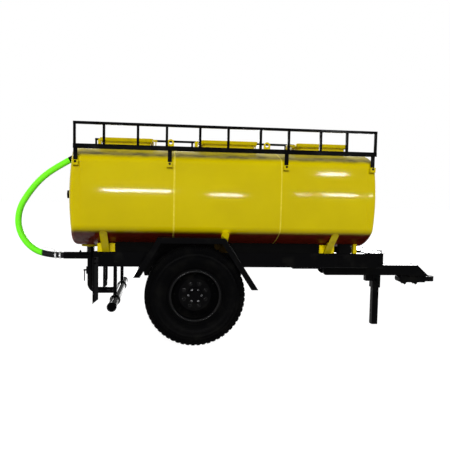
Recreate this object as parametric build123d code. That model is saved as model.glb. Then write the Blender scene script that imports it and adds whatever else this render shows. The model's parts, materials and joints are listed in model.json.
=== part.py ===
from build123d import *
from math import atan2, cos, degrees, pi, radians, sin, sqrt, tan
import os

# A two-wheel water bowser trailer. Millimetres, +X towards the drawbar, +Y to the left, +Z up.
# Lengths along X are first measured from the axle, and the whole trailer is then moved so that
# its origin lies on the ground under the middle of its length.

# Fits and small gaps
SEAT_GAP = 0.3
RUNNING_FIT = 0.05
SLIDE_FIT = 0.5

# Wheels and axle
TYRE_RADIUS = 509
TYRE_HALF_WIDTH = 129
TYRE_WALL = 22
TYRE_WALL_STEPS = 5
TREAD_HALF_WIDTH = 98
SHOULDER_DROP = 22
SHOULDER_ROUND = 18
WHEEL_CENTRE_Y = 755
BEAD_RADIUS = 254
RIM_WALL = 8
RIM_HALF_WIDTH = 96
RIM_FLANGE = 20
DISC_OFFSET = 12
DISC_WALL = 12
DISC_DISH = 40
HAND_HOLE_COUNT = 8
HAND_HOLE_RADIUS = 15
HAND_HOLE_CIRCLE = 205
HUB_FLANGE_RADIUS = 165
HUB_FLANGE = 16
HUB_RADIUS = 76
HUB_INNER = 78
HUB_OUTER = 58
HUB_CAP_RADIUS = 54
HUB_CAP = 34
AXLE_SIZE = 100
SPINDLE_RADIUS = 30
SPINDLE_LENGTH = 145
AXLE_END_GAP = 3

# Springs
SPRING_INSET = 40
SPRING_HALF_SPAN = 500
SPRING_WIDTH = 70
LEAF = 10
LEAF_COUNT = 7
LEAF_STEP = 65
SPRING_PAD = 10
SPRING_CAMBER = 40
EYE_DROP = 71
HANGER_WALL = 10
HANGER_LENGTH = 90
HANGER_REACH = 22
CLAMP_PLATE = 14
CLAMP_PLATE_LENGTH = 130
CLAMP_BOLT_RADIUS = 9
CLAMP_BOLT_GAP = 2

# Chassis beams
BEAM_HEIGHT = 160
BEAM_OUTER_Y = 440
BEAM_WEB = 8
BEAM_FLANGE = 11
BEAM_FLANGE_WIDTH = 70
BEAM_REAR_X = -1065
BEAM_FRONT_X = 2140
CROSS_HEIGHT = 120
CROSS_WIDTH = 60
CROSS_WALL = 7
CROSS_X = (-1000, -420, 420, 1000, 1640, 2105)
DOUBLER_X = (1100, 1450)
DOUBLER = 14
COVER_X = (1950, 2152)
COVER = 8

# Tank shell
TANK_LIFT = 40
TANK_HEIGHT = 1085
TANK_HALF_WIDTH = 790
SIDE_BULGE = 20
LOWER_CORNER_RISE = 215
UPPER_CORNER_DROP = 140
CORNER_RADIUS = 90
TANK_WALL = 6
TANK_REAR_X = -1240
TANK_FRONT_X = 1880
SEAM_REAR_X = -224
SEAM_FRONT_X = 872
HEAD_SKIRT_LENGTH = 90
HEAD_RADIUS = 3200
HEAD_KNUCKLE = 40

# Hatches
HATCH_CORNER = 40
NECK_HEIGHT = 57
NECK_INSET = 32
NECK_WALL = 8
NECK_FLANGE = 8
NECK_FLANGE_INSET = 12
LID_HEIGHT = 38
LID_TAPER = 10
LID_WALL = 5
LID_EDGE = 6
HINGE_PIN_RADIUS = 8
HINGE_BARREL_RADIUS = 16
HINGE_BARREL_LENGTH = 58
HINGE_EAR = 10
HINGE_EAR_GAP = 1
HINGE_ARM = 12
# name, centre X, half width of the lid, distance of the hinge behind the lid, its height over the seat
HATCHES = (
    ("rear", -738, 288, 28, 34),
    ("middle", 380, 320, 28, 34),
    ("front", 1440, 300, 28, 34),
)

# Lifting eyes on the crown of the tank
EYE_X = (-260, 860)
EYE_RADIUS = 38
EYE_HOLE_RADIUS = 20
EYE_RISE = 87
EYE_THICKNESS = 16

# Top rails
RAIL_OUTSET = 12
RAIL_REAR_X = -1212
RAIL_FRONT_X = 1863
RAIL_TOP_BAR = 28
RAIL_LOW_BAR = 46
RAIL_LOW_BAR_WIDTH = 30
RAIL_DROP = 72
RAIL_HEIGHT = 262
POST = 25
POST_X = (-1198, -917, -588, -305, 25, 309, 639, 929, 1264, 1542, 1849)
LEG_X = (-1190, -274, 912, 1826)
LEG_WIDTH = 40
LEG_THICKNESS = 12
LEG_DROP = 151
TAB_WIDTH = 56
TAB_THICKNESS = 12
TAB_RISE = 38
TAB_REACH = 60

# Saddles, packing and stops between chassis and tank
SADDLE_PLATE = 14
SADDLE_STRAP = 10
SADDLE_STRAP_WIDTH = 76
SADDLE_BASE_HEIGHT = 90
SADDLE_BASE_WIDTH = 80
SADDLE_ROOT_REACH = 12
SADDLE_TIP_INSET = 45
SADDLE_TIP_DROP = 1
# name, centre X, base length
SADDLES = (
    ("rear", -928, 184),
    ("middle", 310, 170),
    ("front", 1479, 168),
)
PACKING_WIDTH = 66
# first X, last X
PACKING_RUNS = (
    (-832, 220),
    (400, 1390),
    (1620, 1760),
)
STOP_X = (1785, 1825)
STOP_WIDTH = 60

# Drawbar and tow eye
DRAWBAR_HEIGHT = 125
DRAWBAR_PAD = 30
DRAWBAR_HALF_WIDTH = 110
DRAWBAR_WEB = 9
DRAWBAR_FLANGE = 11
DRAWBAR_REAR_X = 1550
DRAWBAR_REAR_CUT = 30
DRAWBAR_NOSE_TOP_X = 2720
DRAWBAR_NOSE_LOW_X = 2860
PAD_LENGTH = 110
NOSE_PLATE = 10
NOSE_PLATE_LENGTH = 260
TOW_SHANK = 83
TOW_SHANK_X = (2517, 2847)
TOW_SHANK_ROUND = 30
TOW_PLATE = 58
TOW_EYE_X = 2915
TOW_EYE_RADIUS = 65
TOW_HOLE_RADIUS = 25

# Parking jack
JACK_X = 2235
SLEEVE_SIZE = 100
SLEEVE_WALL = 12
SLEEVE_DROP = 160
SLEEVE_RISE = 165
JACK_LEG_WALL = 8
JACK_LEG_ENGAGED = 130
LOCK_BOX_LENGTH = 80
LOCK_BOX_HEIGHT = 70
LOCK_BOX_HALF_WIDTH = 40
LOCK_BOX_RISE = 80

# Fenders, measured from the axle and from the middle of the wheel
FENDER_RISE = 591
FENDER_PLATE = 5
FENDER_LIP = 58
FENDER_INSIDE = 55
FENDER_OUTSIDE = 155
# direction along X, distance of the bend, distance and rise of the foot
FENDER_ENDS = (
    (-1, 380, 619, 193),
    (1, 290, 634, 69),
)
STAY_WIDTH = 55
STAY_THICKNESS = 10
STAY_RISE = 356

# Rear plumbing, with drops below the tank and below the chassis beams
RISER_X = -1148
RISER_RADIUS = 37
OUTLET_PAD_RADIUS = 100
OUTLET_PAD = 22
BELLOWS_RIBS = 5
BELLOWS_RIB = 8
TEE_DROP = 133
TEE_RADIUS = 40
TAIL_END_X = -1445
VALVE_DROP = 300
VALVE_HALF_HEIGHT = 40
VALVE_RADIUS = 50
VALVE_STEM_RADIUS = 10
VALVE_STEM_LENGTH = 28
LEVER_LENGTH = 125
LEVER_RADIUS = 6
FEED_DROP = 530
FEED_RADIUS = 36
FEED_BEND = 80
SPRINKLER_X = -830
SPRINKLER_DROP = 355
SPRINKLER_RADIUS = 44.5
SPRINKLER_HALF_LENGTH = 800
BAR_HANGER = 8
BAR_HANGER_WIDTH = 40
BAR_HANGER_RING = 12
BAR_HANGER_RISE = 60
REAR_LEG_X = -1060
REAR_LEG_FLANGE = 54
REAR_LEG_WALL = 6
REAR_LEG_RISE = 105
REAR_LEG_DROP = 395
REAR_LEG_POINT = 45
HOOK_X = -925
HOOK_INSET = 35
HOOK_RADIUS = 13
HOOK_DROP = 130
HOOK_TOE = 40
HOOK_TURN = 18
STUB_RISE = 15
STUB_RADIUS = 34
STUB_CAP_RADIUS = 46
STUB_CAP = 30
STUB_END_X = -1405

# Green hose between the rear outlet and the upper inlet
HOSE_RADIUS = 35
HOSE_ROUTE = (
    (-1445, 812),
    (-1655, 812),
    (-1845, 925),
    (-1945, 1115),
    (-1935, 1325),
    (-1830, 1510),
    (-1695, 1675),
    (-1540, 1795),
    (-1385, 1885),
)
HOSE_CORNER_SHARE = 0.45
INLET_LENGTH = 160
HOSE_CLAMP_WIDTH = 18
HOSE_CLAMP_WALL = 5
# distance of each hose clamp from the lower end of the hose
HOSE_CLAMP_AT = (30, 80)

# Heights and widths that follow from the sizes above
axle_z = TYRE_RADIUS
spring_low = axle_z + AXLE_SIZE / 2 + SPRING_PAD
leaf_top = spring_low + LEAF * LEAF_COUNT
eye_z = leaf_top + SPRING_CAMBER - LEAF / 2
beam_low = eye_z + EYE_DROP
beam_top = beam_low + BEAM_HEIGHT
cross_low = beam_low + (BEAM_HEIGHT - CROSS_HEIGHT) / 2
tank_low = beam_top + TANK_LIFT
tank_top = tank_low + TANK_HEIGHT
tank_mid = (tank_low + tank_top) / 2
lid_seat = tank_top + NECK_HEIGHT
drawbar_top = cross_low - DRAWBAR_PAD
drawbar_low = drawbar_top - DRAWBAR_HEIGHT
sleeve_low = drawbar_low - SLEEVE_DROP
sleeve_top = drawbar_top + SLEEVE_RISE
jack_leg_size = SLEEVE_SIZE - 2 * SLEEVE_WALL - 2 * SLIDE_FIT
rail_y = TANK_HALF_WIDTH + RAIL_OUTSET
tank_corner_y = TANK_HALF_WIDTH - SIDE_BULGE
tank_floor_radius = (tank_corner_y ** 2 + LOWER_CORNER_RISE ** 2) / (2 * LOWER_CORNER_RISE)
tank_crown_radius = (tank_corner_y ** 2 + UPPER_CORNER_DROP ** 2) / (2 * UPPER_CORNER_DROP)
joint_rear = TANK_REAR_X + HEAD_SKIRT_LENGTH
joint_front = TANK_FRONT_X - HEAD_SKIRT_LENGTH
rear_end = TAIL_END_X - HOSE_CLAMP_AT[-1] - HOSE_CLAMP_WIDTH
front_end = TOW_EYE_X + TOW_EYE_RADIUS
middle_x = (rear_end + front_end) / 2

nodes = {}


# Small builders

def block(x, y, z):
    """A box between two limits on each axis."""
    size = Box(x[1] - x[0], y[1] - y[0], z[1] - z[0])
    return Pos((x[0] + x[1]) / 2, (y[0] + y[1]) / 2, (z[0] + z[1]) / 2) * size


def rod(start, end, radius):
    """A round bar from one point to another."""
    way = Vector(*end) - Vector(*start)
    return Solid.make_cylinder(radius, way.length, Plane(Vector(*start), z_dir=way))


def around(middle, reach):
    """Two limits, the same distance to each side of a middle."""
    return middle - reach, middle + reach


def side_plate(points, y):
    """A plate with its outline in X and Z, between two limits in Y."""
    face = Plane.XZ * Polygon(*points, align=None)
    return Pos(0, (y[0] + y[1]) / 2, 0) * extrude(face, (y[1] - y[0]) / 2, both=True)


def end_plate(points, x):
    """A plate with its outline in Y and Z, between two limits in X."""
    face = Plane.YZ * Polygon(*points, align=None)
    return Pos((x[0] + x[1]) / 2, 0, 0) * extrude(face, (x[1] - x[0]) / 2, both=True)


def other_side(shape):
    """The same piece on the left of the trailer."""
    return mirror(shape, about=Plane.XZ)


def group(*shapes):
    """Several separate solids as one node."""
    return Compound([solid for shape in shapes for solid in shape.solids()])


def both_sides(*shapes):
    """Pieces on the right of the trailer, with the same pieces on its left."""
    return group(*shapes, *[other_side(shape) for shape in shapes])


def turned(profile):
    """A profile of (radius, Y) points turned about the Y axis."""
    return revolve(Polygon(*profile, align=None), Axis.Y)


# Tank shell

def tank_section(grow):
    """The flat-sided oval of the tank, with every wall moved outwards by the same amount."""
    lower = tank_low + LOWER_CORNER_RISE
    upper = tank_top - UPPER_CORNER_DROP
    middle = (lower + upper) / 2
    side_radius = (((upper - lower) / 2) ** 2 + SIDE_BULGE ** 2) / (2 * SIDE_BULGE)
    side_centre = Vector(TANK_HALF_WIDTH - side_radius, middle)

    def moved(height, crown_centre):
        """A corner of the oval, moved away from both of its arcs."""
        corner = Vector(tank_corner_y, height)
        one = (corner - Vector(0, crown_centre)).normalized()
        two = (corner - side_centre).normalized()
        return corner + (one + two) * (grow / (1 + one.dot(two)))

    low = moved(lower, tank_low + tank_floor_radius)
    high = moved(upper, tank_top - tank_crown_radius)
    side = TANK_HALF_WIDTH + grow
    outline = [
        ThreePointArc((-low.X, low.Y), (0, tank_low - grow), (low.X, low.Y)),
        ThreePointArc((low.X, low.Y), (side, middle), (high.X, high.Y)),
        ThreePointArc((high.X, high.Y), (0, tank_top + grow), (-high.X, high.Y)),
        ThreePointArc((-high.X, high.Y), (-side, middle), (-low.X, low.Y)),
    ]
    face = make_face(outline)
    return fillet(face.vertices(), CORNER_RADIUS + grow)


def tank_run(first, last, grow):
    """A length of the tank's oval as a full solid."""
    face = Plane.YZ * tank_section(grow)
    return Pos(first, 0, 0) * extrude(face, last - first)


def head_body(grow):
    """The rear head as a full solid: a dished end on a straight skirt, with a rounded knuckle."""
    dish = HEAD_RADIUS + grow
    centre = TANK_REAR_X + sqrt(HEAD_RADIUS ** 2 - TANK_HALF_WIDTH ** 2)
    reach = centre - HEAD_RADIUS - HEAD_SKIRT_LENGTH
    body = tank_run(reach, joint_rear, grow) & Pos(centre, 0, tank_mid) * Sphere(dish)
    dished = body.faces().filter_by(GeomType.SPHERE)[0]
    return fillet(dished.edges(), HEAD_KNUCKLE + grow)


def at_front(shape):
    """A piece of the rear head, turned round to the front head."""
    return Pos(TANK_FRONT_X + TANK_REAR_X, 0, 0) * mirror(shape, about=Plane.YZ)


def clear_of_tank(shape):
    """A piece that seats on the tank, cut back by the seat gap."""
    return shape - shell_room - rear_head_room - front_head_room


shell_room = tank_run(joint_rear, joint_front, SEAT_GAP)
rear_head_room = head_body(SEAT_GAP)
front_head_room = at_front(rear_head_room)


def hatch_block(x, half, z):
    """An upright square block with round corners, between two heights over a hatch."""
    return Pos(x, 0, z[0]) * extrude(RectangleRounded(2 * half, 2 * half, HATCH_CORNER), z[1] - z[0])


# name, first X, last X
rings = (
    ("rear", joint_rear, SEAM_REAR_X),
    ("middle", SEAM_REAR_X, SEAM_FRONT_X),
    ("front", SEAM_FRONT_X, joint_front),
)
for (name, first, last), (_, x, lid_half, _, _) in zip(rings, HATCHES):
    shell = tank_run(first, last, 0) - tank_run(first, last, -TANK_WALL)
    way = hatch_block(x, lid_half - NECK_INSET - NECK_WALL, (tank_mid, lid_seat))
    nodes["tank_ring_" + name] = shell - way

rear_head = head_body(0) - head_body(-TANK_WALL)
nodes["tank_head_rear"] = rear_head
nodes["tank_head_front"] = at_front(rear_head)

# Hatch necks, lids and hinges

barrel_half = HINGE_BARREL_LENGTH / 2
ear_inside = barrel_half + HINGE_EAR_GAP
ear_outside = ear_inside + HINGE_EAR


def hinge_place(hatch):
    """The X and Z of a lid's hinge pin."""
    _, x, lid_half, reach, rise = hatch
    return x - lid_half - reach, lid_seat + rise


def hatch_neck(x, lid_half):
    """The upright square collar on the tank, with a flange under the lid."""
    half = lid_half - NECK_INSET
    collar = hatch_block(x, half, (tank_mid, lid_seat))
    collar += hatch_block(x, lid_half - NECK_FLANGE_INSET, (lid_seat - NECK_FLANGE, lid_seat))
    return clear_of_tank(collar - hatch_block(x, half - NECK_WALL, (tank_mid, lid_seat)))


def lid_block(x, foot, head, z):
    """A square block with round corners that flares from one half width to another."""
    sides = [Pos(x, 0, level) * RectangleRounded(2 * half, 2 * half, HATCH_CORNER)
             for half, level in zip((foot, head), z)]
    return loft(sides, ruled=True)


def hatch_lid(x, lid_half, pin_x, pin_z):
    """A shallow pressed lid, flared upwards and open below, with a hinge barrel on an arm behind it."""
    low = lid_seat + SEAT_GAP
    top = lid_seat + LID_HEIGHT
    pin = ((pin_x, -barrel_half, pin_z), (pin_x, barrel_half, pin_z))
    foot = lid_half - LID_TAPER
    lid = lid_block(x, foot, lid_half, (low, top))
    lid = fillet(lid.edges().group_by(Axis.Z)[-1], LID_EDGE)
    lid -= lid_block(x, foot - LID_WALL, lid_half - LID_WALL, (low, top - LID_WALL))
    arm_end = x - lid_half + LID_EDGE + HINGE_ARM
    lid += block((pin_x, arm_end), around(0, barrel_half), (top - LID_WALL, top - LID_WALL + HINGE_ARM))
    lid += rod(*pin, HINGE_BARREL_RADIUS)
    return lid - rod(*pin, HINGE_PIN_RADIUS + RUNNING_FIT)


def hinge_post(pin_x, pin_z):
    """Two ears that stand on the tank, joined by the hinge pin."""
    ear = block(around(pin_x, HINGE_BARREL_RADIUS), (ear_inside, ear_outside), (tank_mid, pin_z))
    ear += rod((pin_x, ear_inside, pin_z), (pin_x, ear_outside, pin_z), HINGE_BARREL_RADIUS)
    ear = clear_of_tank(ear)
    pin = rod((pin_x, -ear_outside, pin_z), (pin_x, ear_outside, pin_z), HINGE_PIN_RADIUS)
    return ear + other_side(ear) + pin


for hatch in HATCHES:
    name, x, lid_half = hatch[:3]
    nodes["hatch_neck_" + name] = hatch_neck(x, lid_half)
    nodes["hatch_lid_" + name] = hatch_lid(x, lid_half, *hinge_place(hatch))
nodes["hinge_posts"] = group(*[hinge_post(*hinge_place(hatch)) for hatch in HATCHES])


# Lifting eyes

def lifting_eye(x):
    """An upright plate on the tank's crown, round at its top, with a hole for a shackle."""
    half = EYE_THICKNESS / 2
    centre = tank_top + EYE_RISE
    eye = rod((x, -half, centre), (x, half, centre), EYE_RADIUS)
    eye += block(around(x, EYE_RADIUS), (-half, half), (tank_top + SEAT_GAP, centre))
    return eye - rod((x, -half, centre), (x, half, centre), EYE_HOLE_RADIUS)


nodes["lifting_eyes"] = group(*[lifting_eye(x) for x in EYE_X])

# Top rails with their posts and legs, and the tabs on the tank that hold the legs

rail_low = tank_top - RAIL_DROP
rail_deck = rail_low + RAIL_LOW_BAR
rail_top = rail_low + RAIL_HEIGHT
leg_low = rail_low - LEG_DROP
rail_x = (RAIL_REAR_X, RAIL_FRONT_X)
top_bar = block(rail_x, around(-rail_y, RAIL_TOP_BAR / 2), (rail_top - RAIL_TOP_BAR, rail_top))
low_bar = block(rail_x, around(-rail_y, RAIL_LOW_BAR_WIDTH / 2), (rail_low, rail_deck))
posts = [block(around(x, POST / 2), around(-rail_y, POST / 2), (rail_deck, rail_top - RAIL_TOP_BAR))
         for x in POST_X]
legs = [block(around(x, LEG_WIDTH / 2), around(-rail_y, LEG_THICKNESS / 2), (leg_low, rail_low))
        for x in LEG_X]


def rail_tab(x):
    """A small angle on the tank's shoulder, with a foot under the leg and a flange outside it."""
    inside = -rail_y - LEG_THICKNESS / 2
    outside = inside - TAB_THICKNESS
    wide = around(x, TAB_WIDTH / 2)
    foot = leg_low - TAB_THICKNESS
    flange = block(wide, (outside, inside), (foot, leg_low + TAB_RISE))
    return clear_of_tank(flange + block(wide, (outside, -rail_y + TAB_REACH), (foot, leg_low)))


right_bars = group(top_bar, low_bar)
right_posts = group(*posts, *legs)
nodes["rail_bars_right"] = right_bars
nodes["rail_bars_left"] = group(other_side(right_bars))
nodes["rail_posts_right"] = right_posts
nodes["rail_posts_left"] = group(other_side(right_posts))
nodes["rail_tabs"] = both_sides(*[rail_tab(x) for x in LEG_X])


# Chassis

def channel_outline(outer, tip, low, high, web, flange):
    """A channel with its web at the outer face and its flanges towards the tip."""
    step = web if tip > outer else -web
    return ((outer, low), (tip, low), (tip, low + flange), (outer + step, low + flange),
            (outer + step, high - flange), (tip, high - flange), (tip, high), (outer, high))


beam_inner = -BEAM_OUTER_Y + BEAM_FLANGE_WIDTH
beam_outline = channel_outline(-BEAM_OUTER_Y, beam_inner, beam_low, beam_top, BEAM_WEB, BEAM_FLANGE)
right_beam = end_plate(beam_outline, (BEAM_REAR_X, BEAM_FRONT_X))
nodes["chassis_beam_right"] = right_beam
nodes["chassis_beam_left"] = other_side(right_beam)


def cross_member(x):
    """A channel from web to web, open towards the rear."""
    rear, front = around(x, CROSS_WIDTH / 2)
    outline = channel_outline(front, rear, cross_low, cross_low + CROSS_HEIGHT, CROSS_WALL, CROSS_WALL)
    return side_plate(outline, around(0, BEAM_OUTER_Y - BEAM_WEB))


beam_y = (-BEAM_OUTER_Y, beam_inner)
nodes["cross_members"] = group(*[cross_member(x) for x in CROSS_X])
nodes["beam_doublers"] = both_sides(block(DOUBLER_X, beam_y, (beam_low - DOUBLER, beam_low)))
nodes["front_cover_plate"] = block(COVER_X, around(0, BEAM_OUTER_Y), (beam_top, beam_top + COVER))


# Saddles, packing and stops under the tank

def saddle(x, length):
    """A base on each beam, a web across under the tank, and a strap along each slanting outer edge."""
    base = block(around(x, length / 2), (-BEAM_OUTER_Y, -BEAM_OUTER_Y + SADDLE_BASE_WIDTH),
                 (beam_top, beam_top + SADDLE_BASE_HEIGHT))
    root = Vector(-BEAM_OUTER_Y - SADDLE_ROOT_REACH, beam_top)
    tip_y = TANK_HALF_WIDTH - SADDLE_TIP_INSET
    floor_rise = tank_floor_radius - sqrt(tank_floor_radius ** 2 - tip_y ** 2)
    tip = Vector(-tip_y, tank_low + floor_rise - SADDLE_TIP_DROP)
    along = tip - root
    straight = along.length - SADDLE_STRAP_WIDTH / 2
    slope = Plane((x, root.X, root.Y), x_dir=(1, 0, 0), z_dir=(0, -along.Y, along.X))
    outline = Pos(0, straight / 2) * Rectangle(SADDLE_STRAP_WIDTH, straight)
    outline += Pos(0, straight) * Circle(SADDLE_STRAP_WIDTH / 2)
    strap = extrude(slope * outline, -SADDLE_STRAP)
    web_outline = ((0, beam_top), (root.X, root.Y), (tip.X, tip.Y), (0, tip.Y))
    web = end_plate(web_outline, around(x, SADDLE_PLATE / 2))
    half = base + strap + web
    return clear_of_tank(half + other_side(half))


for name, x, length in SADDLES:
    nodes["saddle_" + name] = saddle(x, length)

packing = [clear_of_tank(block(run, (-BEAM_OUTER_Y, -BEAM_OUTER_Y + PACKING_WIDTH), (beam_top, tank_mid)))
           for run in PACKING_RUNS]
nodes["tank_packing"] = both_sides(*packing)
stop = block(STOP_X, (-BEAM_OUTER_Y, -BEAM_OUTER_Y + STOP_WIDTH), (beam_top, tank_mid))
nodes["front_stops"] = both_sides(clear_of_tank(stop))

# Drawbar: two channels, slanted at the nose, on pads under the front cross members

drawbar_outline = channel_outline(-DRAWBAR_HALF_WIDTH, -SLEEVE_SIZE / 2, drawbar_low, drawbar_top,
                                  DRAWBAR_WEB, DRAWBAR_FLANGE)
drawbar_side = ((DRAWBAR_REAR_X, drawbar_top), (DRAWBAR_REAR_X, drawbar_low + DRAWBAR_REAR_CUT),
                (DRAWBAR_REAR_X + DRAWBAR_REAR_CUT, drawbar_low), (DRAWBAR_NOSE_LOW_X, drawbar_low),
                (DRAWBAR_NOSE_TOP_X, drawbar_top))
channel = end_plate(drawbar_outline, (DRAWBAR_REAR_X, DRAWBAR_NOSE_LOW_X))
channel &= side_plate(drawbar_side, (-DRAWBAR_HALF_WIDTH, 0))
drawbar_y = around(0, DRAWBAR_HALF_WIDTH)
nodes["drawbar_channels"] = both_sides(channel)
nodes["drawbar_pads"] = group(*[block(around(x, PAD_LENGTH / 2), drawbar_y, (drawbar_top, cross_low))
                                for x in CROSS_X[-2:]])
nose_low = drawbar_low - NOSE_PLATE
nose_x = (DRAWBAR_NOSE_LOW_X - NOSE_PLATE_LENGTH, DRAWBAR_NOSE_LOW_X)
nodes["drawbar_nose_plate"] = block(nose_x, drawbar_y, (nose_low, drawbar_low))
tow_y = around(0, TOW_EYE_RADIUS)
tow_z = around(nose_low - TOW_SHANK / 2, TOW_PLATE / 2)
tow_ends = ((TOW_EYE_X, 0, tow_z[0]), (TOW_EYE_X, 0, tow_z[1]))
tow_eye = block(TOW_SHANK_X, tow_y, (nose_low - TOW_SHANK, nose_low))
tow_eye = fillet(tow_eye.edges().filter_by(Axis.Y).group_by(Axis.X)[0], TOW_SHANK_ROUND)
tow_eye += block((TOW_SHANK_X[1], TOW_EYE_X), tow_y, tow_z)
tow_eye += rod(*tow_ends, TOW_EYE_RADIUS)
tow_eye -= rod(*tow_ends, TOW_HOLE_RADIUS)
nodes["tow_eye"] = tow_eye


# Parking jack

def jack_tube(size, wall, z, floor):
    """An upright square tube at the jack, with a closed floor of the given thickness."""
    inside = size / 2 - wall
    body = block(around(JACK_X, size / 2), around(0, size / 2), z)
    return body - block(around(JACK_X, inside), around(0, inside), (z[0] + floor, z[1]))


lock_x = JACK_X - SLEEVE_SIZE / 2
lock_low = sleeve_low + LOCK_BOX_RISE
sleeve = jack_tube(SLEEVE_SIZE, SLEEVE_WALL, (sleeve_low, sleeve_top), 0)
sleeve += block((lock_x - LOCK_BOX_LENGTH, lock_x), around(0, LOCK_BOX_HALF_WIDTH),
                (lock_low, lock_low + LOCK_BOX_HEIGHT))
nodes["jack_sleeve"] = sleeve
leg_z = (0, sleeve_low + JACK_LEG_ENGAGED)
nodes["jack_leg"] = jack_tube(jack_leg_size, JACK_LEG_WALL, leg_z, JACK_LEG_WALL)

# Axle, springs and hangers

axle_half = WHEEL_CENTRE_Y - HUB_INNER - AXLE_END_GAP
spindle_end = axle_half + SPINDLE_LENGTH
axle_low, axle_high = around(axle_z, AXLE_SIZE / 2)
axle = block(around(0, AXLE_SIZE / 2), around(0, axle_half), (axle_low, axle_high))
axle += rod((0, -spindle_end, axle_z), (0, spindle_end, axle_z), SPINDLE_RADIUS)
nodes["axle_beam"] = axle

spring_y = around(SPRING_INSET - BEAM_OUTER_Y, SPRING_WIDTH / 2)


def leaf(level):
    """One leaf of the pack, bowed upwards to its ends. Level 0 is the top leaf."""
    half = SPRING_HALF_SPAN - LEAF_STEP * level
    low = leaf_top - LEAF * (level + 1)
    rise = SPRING_CAMBER * (half / SPRING_HALF_SPAN) ** 2
    lower = ThreePointArc((-half, low + rise), (0, low), (half, low + rise))
    upper = ThreePointArc((half, low + LEAF + rise), (0, low + LEAF), (-half, low + LEAF + rise))
    outline = [lower, Line(lower @ 1, upper @ 0), upper, Line(upper @ 1, lower @ 0)]
    strip = extrude(Plane.XZ * make_face(outline), SPRING_WIDTH / 2, both=True)
    return Pos(0, SPRING_INSET - BEAM_OUTER_Y, 0) * strip


def spring():
    """The right leaf spring with its rolled eyes."""
    pack = leaf(0)
    for level in range(1, LEAF_COUNT):
        pack += leaf(level)
    for x in around(0, SPRING_HALF_SPAN):
        pack += rod((x, spring_y[0], eye_z), (x, spring_y[1], eye_z), HANGER_REACH)
    return pack


def hanger_cheeks():
    """The two cheeks at each end of the right spring."""
    outer = spring_y[0] - SEAT_GAP
    inner = spring_y[1] + SEAT_GAP
    cheeks = []
    for x in around(0, SPRING_HALF_SPAN):
        half = HANGER_LENGTH / 2
        foot = eye_z - HANGER_REACH
        outline = ((x - half, beam_low), (x + half, beam_low),
                   (x + HANGER_REACH, foot), (x - HANGER_REACH, foot))
        cheeks.append(side_plate(outline, (outer - HANGER_WALL, outer)))
        cheeks.append(side_plate(outline, (inner, inner + HANGER_WALL)))
    return cheeks


def spring_clamp():
    """The clamp of the right spring: a top plate, four bolts and a plate under the axle."""
    half = CLAMP_PLATE_LENGTH / 2
    aside = CLAMP_BOLT_RADIUS + CLAMP_BOLT_GAP
    plate_y = (spring_y[0] - 2 * aside, spring_y[1] + 2 * aside)
    top = leaf_top + SPRING_CAMBER * (half / SPRING_HALF_SPAN) ** 2 + SEAT_GAP
    clamp = block((-half, half), plate_y, (top, top + CLAMP_PLATE))
    clamp += block((-half, half), plate_y, (axle_low - CLAMP_PLATE, axle_low))
    for x in around(0, AXLE_SIZE / 2 + CLAMP_BOLT_RADIUS):
        for y in (spring_y[0] - aside, spring_y[1] + aside):
            clamp += rod((x, y, axle_low - CLAMP_PLATE), (x, y, top + CLAMP_PLATE), CLAMP_BOLT_RADIUS)
    return clamp


spring_seat = block(around(0, AXLE_SIZE / 2), spring_y, (axle_high, spring_low))
nodes["leaf_springs"] = both_sides(spring())
nodes["spring_hangers"] = both_sides(*hanger_cheeks())
nodes["spring_clamps"] = both_sides(spring_seat, spring_clamp())

# Fenders

fender_top = axle_z + FENDER_RISE
fender_y = (-WHEEL_CENTRE_Y - FENDER_OUTSIDE, -WHEEL_CENTRE_Y + FENDER_INSIDE)


def fender_fall(bend, reach, rise):
    """The angle at which one end of the fender slants down."""
    return atan2(FENDER_RISE - rise, reach - bend)


def fender_side(depth):
    """The side view of the fender's bent plate, that deep, with its feet cut level."""
    outside = []
    inside = []
    for end, bend, reach, rise in FENDER_ENDS:
        fall = fender_fall(bend, reach, rise)
        foot_z = axle_z + rise
        outside.append(((end * reach, foot_z), (end * bend, fender_top)))
        inside.append(((end * (reach - depth / sin(fall)), foot_z),
                       (end * (bend - depth * tan(fall / 2)), fender_top - depth)))
    rear, front = outside
    rear_inside, front_inside = inside
    return rear + front[::-1] + front_inside + rear_inside[::-1]


def fender():
    """A bent plate over the wheel, with a lip folded down along its outer edge."""
    lip = side_plate(fender_side(FENDER_LIP), (fender_y[0], fender_y[0] + FENDER_PLATE))
    return side_plate(fender_side(FENDER_PLATE), fender_y) + lip


def fender_stay(end, bend, reach, rise):
    """A sloping flat bar from the beam's web, under one slanting end of the fender."""
    fall = fender_fall(bend, reach, rise)
    outer = fender_y[0] + FENDER_PLATE
    bar = Box(STAY_WIDTH, -BEAM_OUTER_Y - outer, STAY_THICKNESS)
    depth = FENDER_PLATE + STAY_THICKNESS / 2
    x = bend + (FENDER_RISE - STAY_RISE) / tan(fall) - depth * sin(fall)
    z = axle_z + STAY_RISE - depth * cos(fall)
    return Pos(end * x, (outer - BEAM_OUTER_Y) / 2, z) * Rot(0, end * degrees(fall), 0) * bar


right_fender = fender()
nodes["fender_right"] = right_fender
nodes["fender_left"] = other_side(right_fender)
nodes["fender_stays"] = both_sides(*[fender_stay(*end) for end in FENDER_ENDS])

# Rear plumbing

pad_low = tank_low - OUTLET_PAD
tee_z = tank_low - TEE_DROP
tee_top = tee_z + TEE_RADIUS
valve_z = tank_low - VALVE_DROP
valve_low, valve_top = around(valve_z, VALVE_HALF_HEIGHT)
feed_z = tank_low - FEED_DROP
sprinkler_z = beam_low - SPRINKLER_DROP
riser_foot = (RISER_X, 0, valve_low)

pad = clear_of_tank(rod((RISER_X, 0, pad_low), (RISER_X, 0, tank_mid), OUTLET_PAD_RADIUS))
nodes["outlet_pad"] = pad.solids().sort_by(Axis.Z)[0]

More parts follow.
